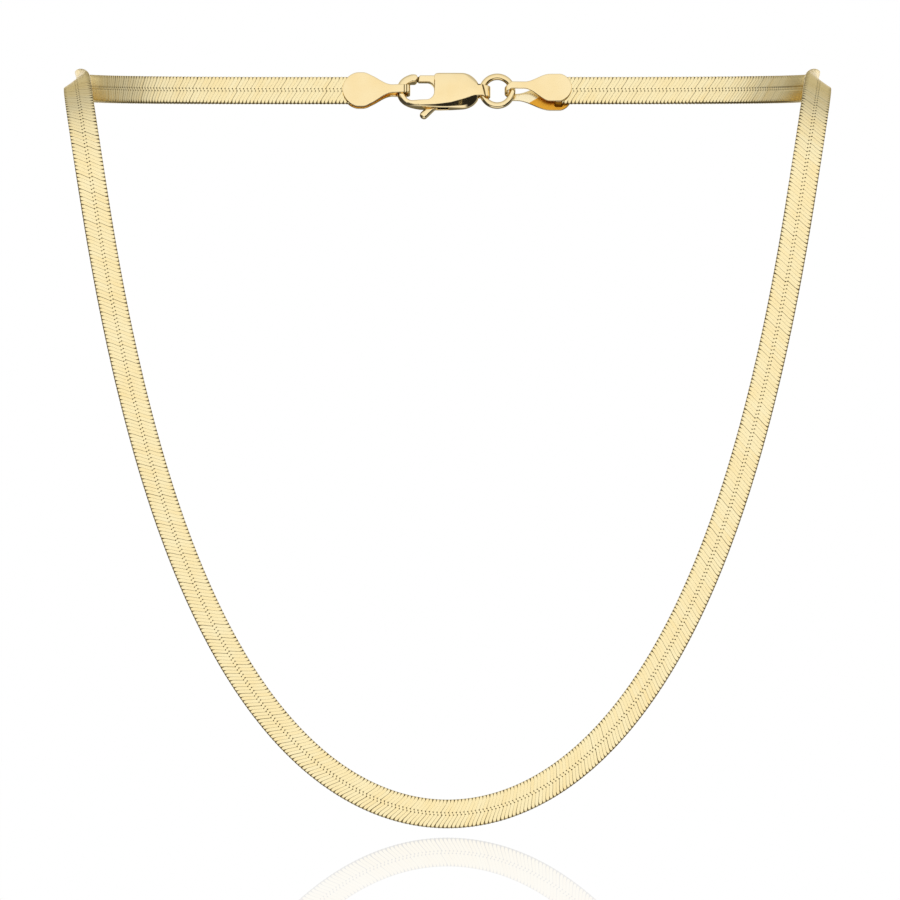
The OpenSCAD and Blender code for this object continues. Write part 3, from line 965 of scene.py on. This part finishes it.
def slot_outline(x, z):
    """The lever's outline, a little wider, swept from shut to open."""
    a, b = x - PIVOT[0], z - PIVOT[1]
    gate = [(p, q + (SLOT_GAP if q > GATE_MIDDLE else -SLOT_GAP)) for p, q in GATE]
    arm = []
    for (p, q), side in zip(ARM, ARM_SIDES):
        below = SLOT_BELOW if q < 0 else 0
        arm.append((p + side * SLOT_GAP - ARM_SLOPE * below, q - below))
    field = disc(a, b, (0, 0), HUB_R + SLOT_GAP)
    for turn in np.radians(np.linspace(0, OPEN_DEG, SWEEP_STEPS)):
        turned_a = a * math.cos(turn) + b * math.sin(turn)
        turned_b = b * math.cos(turn) - a * math.sin(turn)
        field = np.minimum(field, polygon(turned_a, turned_b, gate))
        field = np.minimum(field, polygon(turned_a, turned_b, arm))
        field = np.minimum(field, polygon(turned_a, turned_b, fillet_points(SLOT_GAP)))
        field = np.minimum(field, polygon(turned_a, turned_b, NECK) - SLOT_GAP)
    return field


def gate_gap(x, z, far):
    """Whether a place lies between the gate's end and the distance far from the pivot."""
    reach = np.hypot(x - PIVOT[0], z - PIVOT[1])
    return (reach > GATE_REACH - LEVER_STEP / 2) & (reach < far) & (x < PIVOT[0]) & (z > PIVOT[1])


def body_top(x, z, form, face, window):
    """Half the body's thickness: a low dome, bevelled, with rounded rims outside and round the window."""
    upper = np.interp(z, RIM_Z, (0, 1))
    rim_r = upper * np.interp(x, RIM_X, UPPER_RIM_R) + (1 - upper) * np.interp(x, RIM_X, LOWER_RIM_R)
    top = np.interp(x, *zip(*CLASP_TOP)) - DOME * (1 - np.clip(-face / DOME_REACH, 0, 1)) ** 2
    chamfer_w = (1 - upper) * np.interp(x, CHAMFER_X, CHAMFER_W)
    top = top - (CHAMFER_SLOPE - BEVEL_SLOPE) * np.maximum(chamfer_w + form, 0)
    top = top - BEVEL_SLOPE * np.maximum(face, 0) - edge_fall(form, rim_r)
    window_r = np.interp(x, WINDOW_RIM_X, WINDOW_RIM_R)
    corner_r = np.interp(z, WINDOW_CORNER_Z, WINDOW_CORNER_R)
    return top - edge_fall(-window, np.where(x > WINDOW_RIM_X[1], corner_r, window_r))


def with_eyelet(body, x, y, z):
    """The body joined to its eyelet and nub, with the line and the ring's hole cut."""
    half = EYELET_DEPTH / 2
    round_x = EYELET_X[1] - half
    eyelet = rectangle(x, y, (EYELET_X[0], -half), (round_x, half))
    eyelet = np.minimum(eyelet, disc(x, y, (round_x, 0), half))
    slanted = x + EYELET_SLANT * (z - CLASP_Z)
    middle_z = CLASP_Z - EYELET_SINK * smooth((x - EYELET_LINE[0]) / EYELET_SINK_RUN)
    eyelet = np.maximum(eyelet, np.abs(z - middle_z) - EYELET_H / 2)
    line = rectangle(slanted, y, (EYELET_LINE[0], -FAR), (EYELET_LINE[1], EYELET_LINE_DEPTH - half))
    body = np.minimum(body, np.maximum(eyelet, -line))
    nub = np.maximum(rectangle(x, z, NUB_LOW, NUB_HIGH, NUB_R), np.abs(y) - NUB_T / 2)
    body = np.minimum(body, nub)
    half = EYELET_HOLE_DEPTH / 2
    return np.maximum(body, -rectangle(x, y, (EYELET_HOLE_X[0], -half), (EYELET_HOLE_X[1], half)))


def build_lobster_body():
    """The clasp's body with its eyelet, the lever's slot, the groove in the hook's tip and the cross pin."""
    volume = Volume(*BODY_BOX, BODY_STEP)
    x, y, z = volume.x, volume.y, volume.z
    form = wrap(x, z, MIDDLE_DISCS)
    window = window_outline(x, z)
    top = body_top(x, z, form, wrap(x, z, FACE_DISCS), window)
    body = with_eyelet(np.maximum(np.maximum(form, -window), np.abs(y) - top), x, y, z)
    body = np.maximum(body, -np.maximum(slot_outline(x, z), np.abs(y) - SLOT_T / 2))
    groove = np.maximum(disc(x, z, PIVOT, TIP_GROOVE_R), np.abs(y) - TIP_GROOVE_T / 2)
    body = np.where(x < WINDOW_HIGH[0] - PAST, np.maximum(body, -groove), body)
    pin = np.maximum(disc(x, z, PIVOT, PIN_D / 2), np.abs(y) - SLOT_T / 2 - PIN_SEAT)
    body = np.minimum(body, pin)

    def golds_of(face_x, face_y, face_z):
        # The eyelet's line, the nub and the groove in the hook's tip take the painted shade gold
        across = face_x + EYELET_SLANT * (face_z - CLASP_Z)
        on_line = (across > EYELET_LINE[0]) & (across < EYELET_LINE[1])
        on_line = on_line & (face_y < 0) & (face_z < EYELET_LINE_TOP)
        on_nub = rectangle(face_x, face_z, NUB_LOW, NUB_HIGH, NUB_R) < BODY_STEP / 2
        on_nub = on_nub & (np.abs(face_y) < NUB_T)
        in_groove = gate_gap(face_x, face_z, TIP_GROOVE_R + BODY_STEP)
        in_groove = in_groove & (np.abs(face_y) < TIP_GROOVE_T / 2)
        return np.where(on_line | on_nub | in_groove, PAINTED_SHADE, POLISHED)

    cast_piece("lobster_body", "clasp_body", "necklace", volume, body, BODY_SOFTEN, golds_of)


def build_lobster_lever():
    """The gate with its tongue, the arm through the body and the trigger, as one lever."""
    volume = Volume(*LEVER_BOX, LEVER_STEP)
    a, y, b = volume.x - PIVOT[0], volume.y, volume.z - PIVOT[1]
    gate = np.maximum(polygon(a, b, GATE), disc(a, b, (0, 0), GATE_REACH))
    outline = np.minimum(np.minimum(disc(a, b, (0, 0), HUB_R), gate), polygon(a, b, ARM))
    outline = np.minimum(np.minimum(outline, polygon(a, b, NECK)), disc(a, b, HEAD, HEAD_R))
    outline = np.minimum(outline, polygon(a, b, fillet_points(0.0)))
    lever = rounded_plate(y, LEVER_T / 2, outline, np.interp(b, LEVER_ROUND_Z, LEVER_ROUND))
    tongue = rectangle(a, b, (-TONGUE_REACH - PAST, TONGUE_B[0]), (PAST - GATE_REACH, TONGUE_B[1]))
    tongue = np.maximum(tongue, disc(a, b, (0, 0), TONGUE_REACH))
    lever = np.minimum(lever, np.maximum(tongue, np.abs(y) - TONGUE_T / 2))
    lever = np.maximum(lever, -disc(a, b, (0, 0), PIN_D / 2 + PIN_PLAY))

    def golds_of(face_x, face_y, face_z):
        # The gate's end, in the gap at the hook's tip, takes the painted shade gold
        return np.where(gate_gap(face_x, face_z, TONGUE_REACH + LEVER_STEP), PAINTED_SHADE, POLISHED)

    cast_piece("lobster_lever", "clasp_lever", "lever", volume, lever, LEVER_SOFTEN, golds_of)


def build_clasp_group():
    build_cap_left()
    build_cap_right()
    build_lobster_body()
    build_lobster_lever()
    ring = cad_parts["jump_ring"]
    ring.data.materials.clear()
    ring.data.materials.append(clasp_gold)


# Stage, light and camera

LENS = 1000.0
SENSOR = 36.0
IMAGE_SIDE = 900
DROP_SCALE = 6.85
BOTTOM_PIXEL = (447.5, 814.0)
MIRROR_PIXEL = 833.0
FLOOR_HALF = 700.0

# Share of gloss in the floor, between two places along y in metres: well before the drop, and under it
GLOSS_Y = (-0.55, -0.11)
GLOSS_SHARE = (0.17, 0.28)


def build_camera():
    """Level view from far off, so that the drop's lowest point falls where the photograph has it."""
    lowest = route.place(np.zeros(1), 0.0, 0.0)[0] / MM
    distance = IMAGE_SIDE / DROP_SCALE * LENS / SENSOR
    centre = IMAGE_SIDE / 2
    camera = bpy.data.cameras.new("camera")
    camera.lens = LENS
    camera.sensor_width = SENSOR
    camera.clip_start = 0.1
    camera.clip_end = 20
    obj = bpy.data.objects.new("camera", camera)
    bpy.context.scene.collection.objects.link(obj)
    x = lowest[0] + (centre - BOTTOM_PIXEL[0]) / DROP_SCALE
    z = lowest[2] + (BOTTOM_PIXEL[1] - centre) / DROP_SCALE
    obj.location = (x * MM, (lowest[1] - distance) * MM, z * MM)
    obj.rotation_euler = (QUARTER, 0, 0)
    bpy.context.scene.camera = obj
    return lowest


def build_floor(lowest):
    """A white sheet with a faint gloss, just under the drop."""
    height = lowest[2] - (MIRROR_PIXEL - BOTTOM_PIXEL[1]) / DROP_SCALE
    sides = ((-1, -1), (1, -1), (1, 1), (-1, 1))
    corners = np.array([(a * FLOOR_HALF, b * FLOOR_HALF, height) for a, b in sides])
    material = bpy.data.materials.new("floor_white")
    material.use_nodes = True
    nodes = Nodes(material.node_tree)
    white = nodes.add("ShaderNodeEmission", {"Color": WHITE, "Strength": 1.0})
    mirror = nodes.add("ShaderNodeBsdfGlossy", {"Color": WHITE, "Roughness": 0.0})
    place = nodes.add("ShaderNodeSeparateXYZ", {0: nodes.add("ShaderNodeTexCoord").outputs["Object"]})
    share = nodes.ramp(place.outputs[1], *GLOSS_Y, *GLOSS_SHARE)
    both = nodes.add("ShaderNodeMixShader", {0: share, 1: white.outputs[0], 2: mirror.outputs[0]})
    nodes.add("ShaderNodeOutputMaterial", {"Surface": both.outputs[0]})
    floor = add_mesh("floor", corners * MM, [(0, 1, 2, 3)], [material])
    floor.visible_glossy = False


# Studio light by angle round the necklace: 0 in front, 90 above, 180 behind and -90 below
LIGHT_BY_ANGLE = (
    (-180, 0.9),
    (-166, 0.8),
    (-157, 0.15),
    (-130, 0.15),
    (-105, 0.25),
    (-85, 0.4),
    (-72, 0.72),
    (-62, 1.0),
    (-50, 1.0),
    (-43, 0.02),
    (-26, 0.02),
    (-19, 1.0),
    (15, 1.0),
    (30, 0.98),
    (45, 0.93),
    (60, 0.9),
    (75, 0.8),
    (100, 0.6),
    (140, 0.55),
    (170, 0.6),
    (175, 1.0),
    (180, 1.0),
)

# Darker cards at the sides: the light of each, then its reach along the axes, as (axis, start, full) rows
CARDS = (
    (0.06, ("x", -0.35, -0.62), ("z", 0.3, 0.05)),
    (0.3, ("x", 0.45, 0.7), ("z", 0.35, 0.1)),
    (0.02, ("x", 0.35, 0.5), ("z", -0.03, -0.15), ("y", -0.1, -0.3)),
)


def build_world():
    """A white studio, lit by angle round the necklace, with darker cards at the left and right."""
    world = bpy.data.worlds.new("studio")
    bpy.context.scene.world = world
    world.use_nodes = True
    nodes = Nodes(world.node_tree)
    direction = nodes.add("ShaderNodeTexCoord").outputs["Generated"]
    axes = nodes.add("ShaderNodeSeparateXYZ", {0: direction})
    part = {"x": axes.outputs[0], "y": axes.outputs[1], "z": axes.outputs[2]}
    angle = nodes.math("ARCTAN2", part["z"], nodes.math("MULTIPLY", part["y"], -1.0))
    lights = nodes.add("ShaderNodeValToRGB", {0: nodes.ramp(angle, -math.pi, math.pi, 0.0, 1.0)})
    stops = lights.color_ramp.elements
    for number, (degrees, light) in enumerate(LIGHT_BY_ANGLE):
        share = degrees / 360 + 0.5
        if number == 0:
            stop = stops[0]
        elif number == len(LIGHT_BY_ANGLE) - 1:
            stop = stops[len(stops) - 1]
        else:
            stop = stops.new(share)
        stop.color = (light, light, light, 1)
    glow = lights.outputs[0]
    for light, *edges in CARDS:
        mask = 1.0
        for axis, start, full in edges:
            mask = nodes.math("MULTIPLY", mask, nodes.ramp(part[axis], start, full, 0.0, 1.0, "SMOOTHSTEP"))
        glow = nodes.add("ShaderNodeMix", {0: mask, 2: glow, 3: light}, data_type="FLOAT").outputs[0]
    seen = nodes.add("ShaderNodeLightPath").outputs["Is Camera Ray"]
    strength = nodes.math("MAXIMUM", seen, glow)
    back = nodes.add("ShaderNodeBackground", {"Color": WHITE, "Strength": strength})
    nodes.add("ShaderNodeOutputWorld", {"Surface": back.outputs[0]})


def set_colours():
    view = bpy.context.scene.view_settings
    view.view_transform = "Standard"
    view.look = "None"
    view.exposure = 0
    view.gamma = 1


lowest_point = build_camera()
build_floor(lowest_point)
build_world()
set_colours()
build_core()
build_links()
build_clasp_group()
